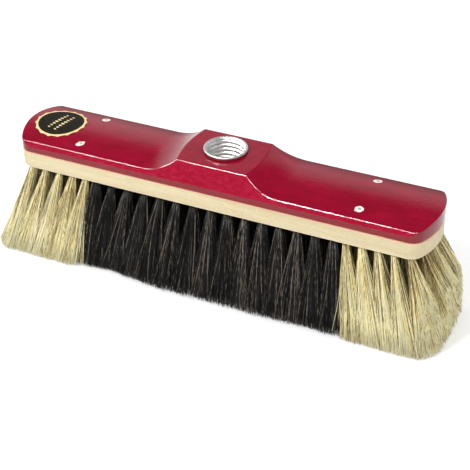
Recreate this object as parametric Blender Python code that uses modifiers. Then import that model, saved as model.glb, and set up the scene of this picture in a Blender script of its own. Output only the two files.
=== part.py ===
# Horsehair broom head: a lacquered deck pinned to a beech board, whose drilled holes hold five rows of tufts.
# Metres, +Z up, X along the head. The floor is z = 0, and the head stands on the cut ends of its bristles.

import math

import bmesh
import bpy
import numpy as np
from mathutils import Matrix, Vector

# Whole head
HEAD_LENGTH = 0.280
HEAD_WIDTH = 0.0529
BRISTLE_LENGTH = 0.065
END_RADIUS = 0.0478
CORNER_RADIUS = 0.0091

# Fits
CLEARANCE = 0.0003
OVERRUN = 0.004
WELD = 0.00001

# Board under the deck
BOARD_THICKNESS = 0.0110

# Deck: upright band, sides that lean in, flat hub, hollow ramps and crowned wings
BAND_HEIGHT = 0.0040
WING_HEIGHT = 0.0071
HUB_HEIGHT = 0.0165
SIDE_LEAN = 0.467
WING_CROWN = 0.0030
HUB_HALF_LENGTH = 0.0232
RAMP_RADIUS = 0.0340

# Handle socket, a turned sleeve whose rim stands proud of the hub
SOCKET_BORE = 0.0236
SOCKET_WALL = 0.0012
SOCKET_SET_BACK = 0.0010
RIM_DIAMETER = 0.0276
RIM_STAND = 0.0025
RIM_LEAD_IN = 0.0008

# Deck pins
PIN_END_INSET = 0.0460
PIN_ROW_OFFSET = 0.0044
PIN_LENGTH = 0.0160
PIN_DIAMETER = 0.0018
PIN_HEAD_DIAMETER = 0.0026
PIN_HEAD_THICKNESS = 0.0008
PIN_POINT = 0.0015

# Round label on the left wing
LABEL_DIAMETER = 0.0345
LABEL_END_INSET = 0.0220
LABEL_THICKNESS = 0.0003
LABEL_SCALLOP = 0.0004
LABEL_SCALLOPS = 16

# Rows of tufts: dark hair in the middle, pale hair at both ends
ROWS = 5
DARK_TUFTS = 15
PALE_TUFTS = 5
ROW_INSET = 0.00525
DARK_END_INSET = 0.0595
PALE_GAP = 0.0075
PALE_END_INSET = 0.0080
OUTER_END_INSET = 0.0125
TUFT_DIAMETER = 0.0050
TUFT_SIDES = 6

# How far the tufts splay from their holes to the floor, and the gaps left between their cut ends
DARK_SPLAY = 0.0040
PALE_SPLAY = 0.0080
END_SPLAY = 0.0215
ROW_SPLAY = 0.0098
TIP_GAP = 0.0013
ROW_TIP_GAP = 0.0039
STRAND_FILL_SHARE = 0.66
BEND_POWER = 1.20
BEND_SHARE = 0.45

# Backing slices in the board's channels, and the wire over each row
SLICE_WIDTH = 0.0047
SLICE_THICKNESS = 0.0025
WIRE_DIAMETER = 0.0010

# Facets
ROUND_STEPS = 32
PIN_STEPS = 10
CORNER_STEPS = 6
END_STEPS = 10
RAMP_STEPS = 10
CROWN_STRIPS = 12
SCALLOP_POINTS = 3
WIRE_RESOLUTION = 2

# Sizes that follow
BOARD_BOTTOM = BRISTLE_LENGTH
BOARD_TOP = BOARD_BOTTOM + BOARD_THICKNESS
DECK_BOTTOM = BOARD_TOP + CLEARANCE
HUB_TOP = DECK_BOTTOM + HUB_HEIGHT
RIM_TOP = HUB_TOP + RIM_STAND
CHANNEL_DEPTH = SLICE_THICKNESS + WIRE_DIAMETER + 3 * CLEARANCE
CHANNEL_FLOOR = BOARD_TOP - CHANNEL_DEPTH
SLICE_TOP = CHANNEL_FLOOR + CLEARANCE + SLICE_THICKNESS
WING_EDGE = HEAD_WIDTH / 2 - SIDE_LEAN * (WING_HEIGHT - BAND_HEIGHT)
OUTER_ROW = HEAD_WIDTH / 2 - ROW_INSET
DARK_EDGE = HEAD_LENGTH / 2 - DARK_END_INSET
PALE_EDGE = DARK_EDGE + PALE_GAP
SLICE_END = (PALE_GAP - CLEARANCE) / 2


def clear_scene():
    for item in list(bpy.data.objects):
        bpy.data.objects.remove(item)


def new_collection(name):
    collection = bpy.data.collections.new(name)
    bpy.context.scene.collection.children.link(collection)
    return collection


def material(name, colour, roughness, metallic=0.0):
    finish = bpy.data.materials.new(name)
    finish.use_nodes = True
    shader = finish.node_tree.nodes["Principled BSDF"]
    shader.inputs["Base Color"].default_value = (*colour, 1.0)
    shader.inputs["Roughness"].default_value = roughness
    shader.inputs["Metallic"].default_value = metallic
    finish.diffuse_color = (*colour, 1.0)
    return finish


def place(name, data, collection, finish=None):
    """Link a mesh or curve as a named object, with its material if it has one."""
    item = bpy.data.objects.new(name, data)
    collection.objects.link(item)
    if finish:
        data.materials.append(finish)
    return item


def place_cutter(name, data, collection):
    item = place(name, data, collection)
    item.hide_render = True
    item.display_type = "WIRE"
    return item


def mesh_from(bm, name):
    data = bpy.data.meshes.new(name)
    bm.to_mesh(data)
    bm.free()
    return data


def flat_outline(name, points, thickness):
    """A closed 2D curve filled and extruded to a plate centred on its own plane."""
    curve = bpy.data.curves.new(name, "CURVE")
    curve.dimensions = "2D"
    curve.fill_mode = "BOTH"
    curve.extrude = thickness / 2
    spline = curve.splines.new("POLY")
    spline.points.add(len(points) - 1)
    for point, (x, y) in zip(spline.points, points):
        point.co = (x, y, 0.0, 1.0)
    spline.use_cyclic_u = True
    return curve


def plate_mesh(name, points, thickness, matrix):
    """The plate of an outline as a welded mesh, set in place by a matrix."""
    curve = flat_outline(name, points, thickness)
    holder = bpy.data.objects.new(name, curve)
    bpy.context.scene.collection.objects.link(holder)
    depsgraph = bpy.context.evaluated_depsgraph_get()
    data = bpy.data.meshes.new_from_object(holder.evaluated_get(depsgraph))
    bpy.data.objects.remove(holder)
    bpy.data.curves.remove(curve)
    bm = bmesh.new()
    bm.from_mesh(data)
    bmesh.ops.remove_doubles(bm, verts=bm.verts, dist=WELD)
    bmesh.ops.transform(bm, matrix=matrix, verts=bm.verts)
    bmesh.ops.recalc_face_normals(bm, faces=bm.faces)
    bm.to_mesh(data)
    bm.free()
    return data


def add_boolean(item, operation, cutter):
    modifier = item.modifiers.new(cutter.name, "BOOLEAN")
    modifier.operation = operation
    modifier.solver = "EXACT"
    modifier.object = cutter


def add_turned(item, steps):
    """Turn a profile, drawn at +X from top to bottom, about the object's Z axis."""
    screw = item.modifiers.new("turn", "SCREW")
    screw.steps = steps
    screw.render_steps = steps
    screw.use_merge_vertices = True
    screw.merge_threshold = WELD


def profile_mesh(name, points):
    bm = bmesh.new()
    verts = [bm.verts.new((radius, 0.0, height)) for radius, height in points]
    for upper, lower in zip(verts, verts[1:]):
        bm.edges.new((upper, lower))
    return mesh_from(bm, name)


def head_outline():
    """Plan of the board and deck: straight sides, and at each end a broad arc between two corner arcs."""
    centre_x = HEAD_LENGTH / 2 - END_RADIUS
    corner_y = HEAD_WIDTH / 2 - CORNER_RADIUS
    corner_x = centre_x + math.sqrt((END_RADIUS - CORNER_RADIUS) ** 2 - corner_y ** 2)
    turn = math.atan2(corner_y, corner_x - centre_x)
    right = []
    for angle in np.linspace(-math.pi / 2, -turn, CORNER_STEPS, endpoint=False):
        right.append((corner_x + CORNER_RADIUS * math.cos(angle), -corner_y + CORNER_RADIUS * math.sin(angle)))
    for angle in np.linspace(-turn, turn, END_STEPS, endpoint=False):
        right.append((centre_x + END_RADIUS * math.cos(angle), END_RADIUS * math.sin(angle)))
    for angle in np.linspace(turn, math.pi / 2, CORNER_STEPS + 1):
        right.append((corner_x + CORNER_RADIUS * math.cos(angle), corner_y + CORNER_RADIUS * math.sin(angle)))
    left = [(-x, -y) for x, y in right]
    return right + left


def end_reach(y):
    """Half-length of the plan at a distance y from its middle line."""
    return HEAD_LENGTH / 2 - END_RADIUS + math.sqrt(END_RADIUS ** 2 - y ** 2)


def crown(y):
    """Rise of a wing's rounded top above its long edges."""
    return WING_CROWN * (1.0 - (y / WING_EDGE) ** 2)


def wing_top(y):
    return DECK_BOTTOM + WING_HEIGHT + crown(y)


def ramp_stations():
    """Distances from the head's middle, with the ramp's height: a hollow arc that runs out flat on the wing."""
    corner_rise = HUB_HEIGHT - WING_HEIGHT - crown(HEAD_WIDTH / 2 - SIDE_LEAN * (HUB_HEIGHT - BAND_HEIGHT))
    foot = HUB_HALF_LENGTH + math.sqrt(RAMP_RADIUS ** 2 - (RAMP_RADIUS - corner_rise) ** 2)
    steepest = math.acos(1.0 - (HUB_HEIGHT - WING_HEIGHT + WING_CROWN) / RAMP_RADIUS)
    stations = [(HEAD_LENGTH / 2 + OVERRUN, 0.0)]
    for angle in np.linspace(0.0, steepest, RAMP_STEPS + 1):
        stations.append((foot - RAMP_RADIUS * math.sin(angle), RAMP_RADIUS * (1.0 - math.cos(angle))))
    return stations


def wing_cutter(side, collection):
    """The space over one wing: ramp and crown swept together below, open air above the hub."""
    stations = ramp_stations()
    bm = bmesh.new()
    bmesh.ops.create_grid(bm, x_segments=len(stations) - 1, y_segments=CROWN_STRIPS, size=1.0)
    for v in bm.verts:
        reach, rise = stations[round((1.0 - v.co.x) / 2 * (len(stations) - 1))]
        y = v.co.y * (HEAD_WIDTH / 2 + OVERRUN)
        v.co = (side * reach, y, wing_top(y) + rise)
    lid = bmesh.ops.extrude_face_region(bm, geom=bm.faces[:])["geom"]
    ceiling = HUB_TOP + RAMP_RADIUS
    for v in lid:
        if isinstance(v, bmesh.types.BMVert):
            v.co.z = ceiling
    bmesh.ops.recalc_face_normals(bm, faces=bm.faces)
    return place_cutter(f"wing_cutter_{side:+d}", mesh_from(bm, "wing_cutter"), collection)


def side_cutter(collection):
    """Both leaning sides as one long trapezoid bar, kept by an intersection."""
    low = -OVERRUN
    high = HUB_HEIGHT + OVERRUN
    half_low = HEAD_WIDTH / 2 - SIDE_LEAN * (low - BAND_HEIGHT)
    half_high = HEAD_WIDTH / 2 - SIDE_LEAN * (high - BAND_HEIGHT)
    section = [(-half_low, low), (half_low, low), (half_high, high), (-half_high, high)]
    stand = Matrix.Translation((0.0, 0.0, DECK_BOTTOM)) @ Matrix.Rotation(math.pi / 2, 4, "Z")
    stand = stand @ Matrix.Rotation(math.pi / 2, 4, "X")
    data = plate_mesh("side_bar", section, HEAD_LENGTH + 2 * OVERRUN, stand)
    return place_cutter("side_bar", data, collection)


def pin_places():
    for name_x, side_x in (("left", -1), ("right", 1)):
        for name_y, side_y in (("front", -1), ("back", 1)):
            x = side_x * (HEAD_LENGTH / 2 - PIN_END_INSET)
            y = side_y * (OUTER_ROW - PIN_ROW_OFFSET)
            yield f"{name_y}_{name_x}", x, y


def pin_profile(extra, above):
    """A flat-headed pin from its crown down to its blunt point; extra widens and deepens it into its hole."""
    head = PIN_HEAD_DIAMETER / 2 + extra
    shank = PIN_DIAMETER / 2 + extra
    blunt = PIN_DIAMETER / 4 + extra
    neck = -PIN_HEAD_THICKNESS - extra
    return [
        (0.0, above),
        (head, above),
        (head, neck),
        (shank, neck),
        (shank, PIN_POINT - PIN_LENGTH),
        (blunt, -PIN_LENGTH - extra),
        (0.0, -PIN_LENGTH - extra),
    ]


def pin_cutters(collection):
    cutters = []
    for name, x, y in pin_places():
        data = profile_mesh(f"pin_hole_{name}", pin_profile(CLEARANCE, OVERRUN))
        cutter = place_cutter(f"pin_hole_{name}", data, collection)
        cutter.location = (x, y, wing_top(y))
        add_turned(cutter, PIN_STEPS)
        cutters.append(cutter)
    return cutters


def build_deck(parts, cutters, pin_holes):
    lift = Matrix.Translation((0.0, 0.0, DECK_BOTTOM + HUB_HEIGHT / 2))
    data = plate_mesh("top_deck", head_outline(), HUB_HEIGHT, lift)
    deck = place("top_deck", data, parts, material("crimson_lacquer", (0.42, 0.008, 0.03), 0.22))
    add_boolean(deck, "INTERSECT", side_cutter(cutters))
    for side in (-1, 1):
        add_boolean(deck, "DIFFERENCE", wing_cutter(side, cutters))
    bm = bmesh.new()
    radius = SOCKET_BORE / 2 + SOCKET_WALL + CLEARANCE
    bmesh.ops.create_cone(
        bm, cap_ends=True, segments=ROUND_STEPS, radius1=radius, radius2=radius, depth=HUB_HEIGHT + 2 * OVERRUN
    )
    bore = place_cutter("socket_hole", mesh_from(bm, "socket_hole"), cutters)
    bore.location = (0.0, SOCKET_SET_BACK, DECK_BOTTOM + HUB_HEIGHT / 2)
    add_boolean(deck, "DIFFERENCE", bore)
    for hole in pin_holes:
        add_boolean(deck, "DIFFERENCE", hole)


def build_socket(parts):
    """Turned sleeve: rim with a chamfered mouth, straight bore, and a wall that stands on the board."""
    bore = SOCKET_BORE / 2
    wall = bore + SOCKET_WALL
    rim = RIM_DIAMETER / 2
    profile = [
        (bore + RIM_LEAD_IN, RIM_TOP),
        (rim - RIM_LEAD_IN / 2, RIM_TOP),
        (rim, RIM_TOP - RIM_LEAD_IN / 2),
        (rim, HUB_TOP + CLEARANCE),
        (wall, HUB_TOP + CLEARANCE),
        (wall, BOARD_TOP + CLEARANCE),
        (bore, BOARD_TOP + CLEARANCE),
        (bore, RIM_TOP - RIM_LEAD_IN),
        (bore + RIM_LEAD_IN, RIM_TOP),
    ]
    data = profile_mesh("handle_socket", profile)
    socket = place("handle_socket", data, parts, material("bright_steel", (0.62, 0.62, 0.61), 0.28, 1.0))
    socket.location = (0.0, SOCKET_SET_BACK, 0.0)
    add_turned(socket, ROUND_STEPS)


def build_pins(parts):
    finish = material("pin_steel", (0.55, 0.54, 0.52), 0.4, 1.0)
    for name, x, y in pin_places():
        data = profile_mesh(f"deck_pin_{name}", pin_profile(0.0, 0.0))
        pin = place(f"deck_pin_{name}", data, parts, finish)
        pin.location = (x, y, wing_top(y))
        add_turned(pin, PIN_STEPS)


def build_label(parts):
    """A scalloped paper disc, bent over the wing's crown in flat strips."""
    count = LABEL_SCALLOPS * SCALLOP_POINTS
    points = []
    for step in range(count):
        angle = 2 * math.pi * step / count
        radius = LABEL_DIAMETER / 2 - LABEL_SCALLOP * (1.0 - abs(math.cos(LABEL_SCALLOPS * angle / 2)))
        points.append((radius * math.cos(angle), radius * math.sin(angle)))
    centre = Matrix.Translation((LABEL_END_INSET - HEAD_LENGTH / 2, 0.0, 0.0))
    data = plate_mesh("round_label", points, LABEL_THICKNESS, centre)
    bm = bmesh.new()
    bm.from_mesh(data)
    strip = 2 * (HEAD_WIDTH / 2 + OVERRUN) / CROWN_STRIPS
    for index in range(1, CROWN_STRIPS):
        y = -HEAD_WIDTH / 2 - OVERRUN + index * strip
        everything = bm.verts[:] + bm.edges[:] + bm.faces[:]
        bmesh.ops.bisect_plane(bm, geom=everything, plane_co=(0.0, y, 0.0), plane_no=(0.0, 1.0, 0.0), dist=WELD)
    for v in bm.verts:
        v.co.z += wing_top(v.co.y) + CLEARANCE + LABEL_THICKNESS / 2
    bm.to_mesh(data)
    bm.free()
    place("round_label", data, parts, material("label_paper", (0.02, 0.02, 0.02), 0.45))


def row_y(row):
    return (2 * row / (ROWS - 1) - 1) * OUTER_ROW


def is_outer(row):
    return row in (0, ROWS - 1)


def pale_places(row):
    """Tufts of one pale end, spaced evenly from the dark hair to the curved end of the board."""
    last = HEAD_LENGTH / 2 - OUTER_END_INSET if is_outer(row) else end_reach(row_y(row)) - PALE_END_INSET
    return list(np.linspace(PALE_EDGE, last, PALE_TUFTS))


def row_groups():
    """Name, row, hair and tuft places of each separate group of tufts."""
    for row in range(ROWS):
        pale = pale_places(row)
        yield f"pale_tufts_left_row_{row + 1}", row, "pale", [-x for x in reversed(pale)]
        yield f"dark_tufts_row_{row + 1}", row, "dark", list(np.linspace(-DARK_EDGE, DARK_EDGE, DARK_TUFTS))
        yield f"pale_tufts_right_row_{row + 1}", row, "pale", pale


def floor_x(x, hair):
    """Where a tuft rooted at x meets the floor: the ends splay out most."""
    if hair == "dark":
        return x * (DARK_EDGE + DARK_SPLAY) / DARK_EDGE
    outermost = HEAD_LENGTH / 2 - PALE_END_INSET
    share = (abs(x) - PALE_EDGE) / (outermost - PALE_EDGE)
    return math.copysign(abs(x) + PALE_SPLAY + share * (END_SPLAY - PALE_SPLAY), x)


def floor_y(y):
    return y * (OUTER_ROW + ROW_SPLAY) / OUTER_ROW


def tip_sizes(places, hair):
    """Length and width of a tuft at the floor, from the spacing of its row there."""
    pitch_x = floor_x(places[1], hair) - floor_x(places[0], hair)
    pitch_y = floor_y(row_y(1)) - floor_y(row_y(0))
    return pitch_x - TIP_GAP, pitch_y - ROW_TIP_GAP


def shank_mesh(places, y, bottom, top, radius):
    """Upright six-sided plugs, flats facing front and back, in one row."""
    bm = bmesh.new()
    for x in places:
        plug = bmesh.ops.create_cone(
            bm, cap_ends=True, segments=TUFT_SIDES, radius1=radius, radius2=radius, depth=top - bottom
        )
        turn = Matrix.Translation((x, y, (top + bottom) / 2)) @ Matrix.Rotation(math.pi / TUFT_SIDES, 4, "Z")
        bmesh.ops.transform(bm, matrix=turn, verts=plug["verts"])
    return mesh_from(bm, "shanks")


def split_root(bm, face, full):
    """Divide a plug's lower face into six wedges, or in two where the tuft is hidden by others."""
    if full:
        return bmesh.ops.poke(bm, faces=[face])["faces"]
    middle_y = face.calc_center_median().y
    corners = sorted(face.verts, key=lambda v: abs(v.co.y - middle_y))[:2]
    other, _ = bmesh.utils.face_split(face, corners[0], corners[1])
    return [face, other]


def grow_strands(bm, roots, start, tip, tip_size, levels):
    """Extrude each root face down to the floor as its own strand, spreading from the tuft's middle."""
    width = TUFT_DIAMETER * math.cos(math.pi / TUFT_SIDES)
    spread = (tip_size[0] / TUFT_DIAMETER, tip_size[1] / width)
    for root in roots:
        corners = [v.co.copy() for v in root.verts]
        middle = sum(corners, Vector()) / len(corners)
        face = root
        for level in levels:
            face = bmesh.ops.extrude_discrete_faces(bm, faces=[face])["faces"][0]
            bend = level ** BEND_POWER
            fill = 1.0 - (1.0 - STRAND_FILL_SHARE) * level
            for v, corner in zip(face.verts, corners):
                moved = []
                for axis in (0, 1):
                    grow = 1.0 + (spread[axis] - 1.0) * level
                    offset = middle[axis] - start[axis] + fill * (corner[axis] - middle[axis])
                    moved.append(start[axis] + bend * (tip[axis] - start[axis]) + grow * offset)
                v.co = (*moved, BOARD_BOTTOM * (1.0 - level))


def build_tufts(parts, cutters):
    finishes = {
        "dark": material("dark_horsehair", (0.018, 0.015, 0.013), 0.5),
        "pale": material("pale_horsehair", (0.62, 0.52, 0.28), 0.5),
    }
    for name, row, hair, places in row_groups():
        y = row_y(row)
        length = places[-1] - places[0] + 2 * SLICE_END
        bm = bmesh.new()
        bmesh.ops.create_cube(bm, size=1.0)
        size = Matrix.Diagonal((length, SLICE_WIDTH, SLICE_THICKNESS, 1.0))
        middle = Matrix.Translation(((places[0] + places[-1]) / 2, y, SLICE_TOP - SLICE_THICKNESS / 2))
        bmesh.ops.transform(bm, matrix=middle @ size, verts=bm.verts)
        holder = place(name, mesh_from(bm, name), parts, finishes[hair])
        top = SLICE_TOP - SLICE_THICKNESS / 2
        plugs = place_cutter("plugs", shank_mesh(places, y, BOARD_BOTTOM, top, TUFT_DIAMETER / 2), cutters)
        add_boolean(holder, "UNION", plugs)
        depsgraph = bpy.context.evaluated_depsgraph_get()
        joined = bpy.data.meshes.new_from_object(holder.evaluated_get(depsgraph))
        bpy.data.objects.remove(plugs)
        holder.modifiers.clear()
        bm = bmesh.new()
        bm.from_mesh(joined)
        ends = [f for f in bm.faces if f.calc_center_median().z < BOARD_BOTTOM + CLEARANCE]
        endmost = max(abs(x) for x in places)
        for face in ends:
            x = min(places, key=lambda place_x: abs(place_x - face.calc_center_median().x))
            shown = is_outer(row) or (hair == "pale" and abs(x) == endmost)
            levels = (BEND_SHARE, 1.0) if shown else (1.0,)
            roots = split_root(bm, face, shown)
            tip = (floor_x(x, hair), floor_y(y))
            grow_strands(bm, roots, (x, y), tip, tip_sizes(places, hair), levels)
        bmesh.ops.recalc_face_normals(bm, faces=bm.faces)
        bm.to_mesh(joined)
        bm.free()
        joined.name = name
        holder.data = joined


def build_board(parts, cutters, pin_holes):
    """Beech board: channels along its top for the backing, and a straight hole for every tuft."""
    lift = Matrix.Translation((0.0, 0.0, BOARD_BOTTOM + BOARD_THICKNESS / 2))
    data = plate_mesh("bristle_board", head_outline(), BOARD_THICKNESS, lift)
    board = place("bristle_board", data, parts, material("pale_beech", (0.80, 0.66, 0.42), 0.55))
    grooves = bmesh.new()
    for row in range(ROWS):
        length = 2 * (pale_places(row)[-1] + SLICE_END + CLEARANCE)
        groove = bmesh.ops.create_cube(grooves, size=1.0)["verts"]
        size = Matrix.Diagonal((length, SLICE_WIDTH + 2 * CLEARANCE, CHANNEL_DEPTH + OVERRUN, 1.0))
        middle = Matrix.Translation((0.0, row_y(row), CHANNEL_FLOOR + (CHANNEL_DEPTH + OVERRUN) / 2))
        bmesh.ops.transform(grooves, matrix=middle @ size, verts=groove)
    add_boolean(board, "DIFFERENCE", place_cutter("channels", mesh_from(grooves, "channels"), cutters))
    for name, row, hair, places in row_groups():
        radius = TUFT_DIAMETER / 2 + CLEARANCE
        low = BOARD_BOTTOM - OVERRUN
        high = CHANNEL_FLOOR + CHANNEL_DEPTH / 2
        holes = place_cutter(f"holes_{name}", shank_mesh(places, row_y(row), low, high, radius), cutters)
        add_boolean(board, "DIFFERENCE", holes)
    for hole in pin_holes:
        add_boolean(board, "DIFFERENCE", hole)


def build_wires(parts):
    """One straight drawing wire over the backing of each row."""
    finish = material("drawing_wire_steel", (0.45, 0.45, 0.44), 0.35, 1.0)
    for row in range(ROWS):
        half = pale_places(row)[-1] + SLICE_END / 2
        curve = bpy.data.curves.new(f"drawing_wire_row_{row + 1}", "CURVE")
        curve.dimensions = "3D"
        curve.bevel_depth = WIRE_DIAMETER / 2
        curve.bevel_resolution = WIRE_RESOLUTION
        curve.use_fill_caps = True
        spline = curve.splines.new("POLY")
        spline.points.add(1)
        height = SLICE_TOP + CLEARANCE + WIRE_DIAMETER / 2
        for point, x in zip(spline.points, (-half, half)):
            point.co = (x, row_y(row), height, 1.0)
        place(curve.name, curve, parts, finish)


def main():
    clear_scene()
    parts = new_collection("horsehair_broom_head")
    cutters = new_collection("cutters")
    pin_holes = pin_cutters(cutters)
    build_deck(parts, cutters, pin_holes)
    build_board(parts, cutters, pin_holes)
    build_socket(parts)
    build_pins(parts)
    build_label(parts)
    build_tufts(parts, cutters)
    build_wires(parts)


main()
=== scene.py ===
# A horsehair broom head on a pale floor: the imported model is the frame, and these pieces give it its looks.
# Metres, +Z up, X along the head, cut ends of the bristles on z = 0.

import math
import bmesh
import bpy
import numpy as np
from mathutils import Matrix, Vector


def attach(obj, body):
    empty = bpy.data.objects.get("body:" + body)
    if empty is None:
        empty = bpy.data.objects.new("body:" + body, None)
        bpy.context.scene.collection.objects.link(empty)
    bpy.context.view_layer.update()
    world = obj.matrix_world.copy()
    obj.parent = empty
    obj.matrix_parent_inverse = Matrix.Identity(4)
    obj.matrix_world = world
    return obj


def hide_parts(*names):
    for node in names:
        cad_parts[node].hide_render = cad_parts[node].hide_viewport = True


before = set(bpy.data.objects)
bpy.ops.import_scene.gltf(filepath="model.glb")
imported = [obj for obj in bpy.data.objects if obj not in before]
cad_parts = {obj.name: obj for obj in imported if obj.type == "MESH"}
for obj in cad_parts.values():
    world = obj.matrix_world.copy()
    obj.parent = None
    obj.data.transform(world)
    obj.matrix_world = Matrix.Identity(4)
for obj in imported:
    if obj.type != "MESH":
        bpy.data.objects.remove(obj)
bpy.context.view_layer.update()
print("frame loaded")


def surface(name, points, quads, triangles=()):
    # a mesh from whole arrays: points (n, 3), quads (m, 4) and triangles (k, 3)
    quads = np.asarray(quads, np.int32).reshape(-1, 4)
    triangles = np.asarray(triangles, np.int32).reshape(-1, 3)
    corners = np.concatenate([quads.ravel(), triangles.ravel()])
    starts = np.concatenate([4 * np.arange(len(quads)), 4 * len(quads) + 3 * np.arange(len(triangles))])
    data = bpy.data.meshes.new(name)
    data.vertices.add(len(points))
    data.vertices.foreach_set("co", np.asarray(points, np.float32).ravel())
    data.loops.add(len(corners))
    data.loops.foreach_set("vertex_index", corners.astype(np.int32))
    data.polygons.add(len(starts))
    data.polygons.foreach_set("loop_start", starts.astype(np.int32))
    data.update(calc_edges=True)
    return data


def gridQuads(rows, columns, closedRows=False):
    # quad (i, j) joins rows i, i + 1 and columns j, j + 1; the columns wrap round, and the rows do where they
    # close
    i, j = np.meshgrid(np.arange(rows - (not closedRows)), np.arange(columns), indexing="ij")
    nextRow, nextColumn = (i + 1) % rows, (j + 1) % columns
    corners = [i * columns + j, i * columns + nextColumn, nextRow * columns + nextColumn, nextRow * columns + j]
    return np.stack(corners, -1).reshape(-1, 4)


def opened(data=None):
    work = bmesh.new()
    if data:
        work.from_mesh(data)
    return work


def closed(work, data):
    work.to_mesh(data)
    work.free()
    return data


def weld(data):
    # closes seams and poles, and turns every face outwards
    work = opened(data)
    bmesh.ops.remove_doubles(work, verts=work.verts, dist=0.000002)
    bmesh.ops.dissolve_degenerate(work, edges=work.edges, dist=0.000002)
    bmesh.ops.recalc_face_normals(work, faces=work.faces)
    return closed(work, data)


def shell(name, rows, closedRows=False):
    # rings of equally many points joined into one closed skin
    return weld(surface(name, np.concatenate(rows), gridQuads(len(rows), len(rows[0]), closedRows)))


def spots(x, y, z):
    # points from whole arrays or single numbers that fit together
    return np.stack(np.broadcast_arrays(x, y, z), -1)


def around(radius, angle, height):
    # points (radius cos angle, radius sin angle, height)
    return spots(radius * np.cos(angle), radius * np.sin(angle), height)


def fullTurn(steps):
    return np.linspace(0, 2 * np.pi, steps, endpoint=False)


def turned(profile, steps, centre=(0.0, 0.0)):
    # profile (radius, height) carried round a vertical axis; closed at both ends where the radius is zero
    radius, height = np.asarray(profile, float).T[..., None]
    return around(radius, fullTurn(steps), height) + (*centre, 0.0)


def cylinder(radius, low, high, steps, centre):
    return turned([(0, low), (radius, low), (radius, high), (0, high)], steps, centre)


def linked(name, data):
    made = bpy.data.objects.new(name, data)
    bpy.context.scene.collection.objects.link(made)
    return made


def addPiece(name, data, finish, replaced=(), sharpAngle=50.0):
    # edges sharper than the angle stay crisp and the rest is smooth; with no angle every face is flat
    if sharpAngle:
        data.polygons.foreach_set("use_smooth", np.ones(len(data.polygons), bool))
        data.set_sharp_from_angle(angle=math.radians(sharpAngle))
    data.materials.append(finish)
    piece = linked(name, data)
    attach(piece, "root")
    if replaced:
        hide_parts(*replaced)


def cutAway(data, cutterData):
    # what is left of a solid once another is taken out of it
    solid, cutter = linked("solid", data), linked("cutter", cutterData)
    cut = solid.modifiers.new("cut", "BOOLEAN")
    cut.operation, cut.solver, cut.object = "DIFFERENCE", "EXACT", cutter
    graph = bpy.context.evaluated_depsgraph_get()
    left = bpy.data.meshes.new_from_object(solid.evaluated_get(graph))
    bpy.data.objects.remove(solid)
    bpy.data.objects.remove(cutter)
    return left


def node(tree, kind, inputs=None, **settings):
    made = tree.nodes.new("ShaderNode" + kind)
    for key, value in settings.items():
        setattr(made, key, value)
    for key, value in (inputs or {}).items():
        if isinstance(value, bpy.types.NodeSocket):
            tree.links.new(value, made.inputs[key])
        else:
            made.inputs[key].default_value = value
    return made


def newFinish(name, **values):
    finish = bpy.data.materials.new(name)
    finish.use_nodes = True
    shader = finish.node_tree.nodes["Principled BSDF"]
    for key, value in values.items():
        shader.inputs[key.replace("_", " ")].default_value = value
    return finish, finish.node_tree, shader


def feed(tree, shader, **values):
    # links worked-out values to the shader's sockets
    for key, value in values.items():
        tree.links.new(value, shader.inputs[key.replace("_", " ")])


def placed(tree, scale=(1, 1, 1), offset=(0.0, 0.0, 0.0)):
    where = node(tree, "TexCoord").outputs["Object"]
    return node(tree, "Mapping", {"Vector": where, "Location": offset, "Scale": scale}).outputs[0]


def axes(tree):
    return node(tree, "SeparateXYZ", {0: placed(tree)}).outputs


def fromAxis(tree, x, y):
    # distance from the upright line through (x, y)
    flat = placed(tree, (1, 1, 0), (-x, -y, 0))
    return node(tree, "VectorMath", {0: flat}, operation="LENGTH").outputs["Value"]


def noise(tree, scale, detail=3.0, rough=0.6, offset=(0.0, 0.0, 0.0), warp=0.0):
    inputs = {"Vector": placed(tree, scale, offset), "Scale": 1.0, "Detail": detail, "Roughness": rough,
              "Distortion": warp}
    return node(tree, "TexNoise", inputs).outputs["Fac"]


def stops(tree, factor, tints):
    # a ramp through pairs of position and colour
    made = node(tree, "ValToRGB", {"Fac": factor})
    elements = made.color_ramp.elements
    while len(elements) < len(tints):
        elements.new(0.5)
    for element, (position, tint) in zip(elements, tints):
        element.position = position
        element.color = (*tint[:3], 1.0)
    return made.outputs["Color"]


def remap(tree, value, low, high, newLow=0.0, newHigh=1.0):
    inputs = {"Value": value, "From Min": low, "From Max": high, "To Min": newLow, "To Max": newHigh}
    return node(tree, "MapRange", inputs).outputs["Result"]


def maths(tree, kind, a, b):
    return node(tree, "Math", {0: a, 1: b}, operation=kind).outputs[0]


def times(tree, a, b):
    return maths(tree, "MULTIPLY", a, b)


def plus(tree, a, b):
    return maths(tree, "ADD", a, b)


def mixNumber(tree, factor, a, b):
    return node(tree, "Mix", {0: factor, 2: a, 3: b}, data_type="FLOAT").outputs[0]


def mixColour(tree, factor, a, b, kind="MIX"):
    return node(tree, "Mix", {0: factor, 6: a, 7: b}, data_type="RGBA", blend_type=kind).outputs[2]


def bump(tree, height, strength, distance=0.0001):
    inputs = {"Height": height, "Strength": strength, "Distance": distance}
    return node(tree, "Bump", inputs).outputs["Normal"]


def colour(red, green, blue):
    # an opaque colour written as it looks on screen, from 0 to 255
    shares = [value / 255 for value in (red, green, blue)]
    return (*(share / 12.92 if share <= 0.04045 else ((share + 0.055) / 1.055) ** 2.4 for share in shares), 1.0)


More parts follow.
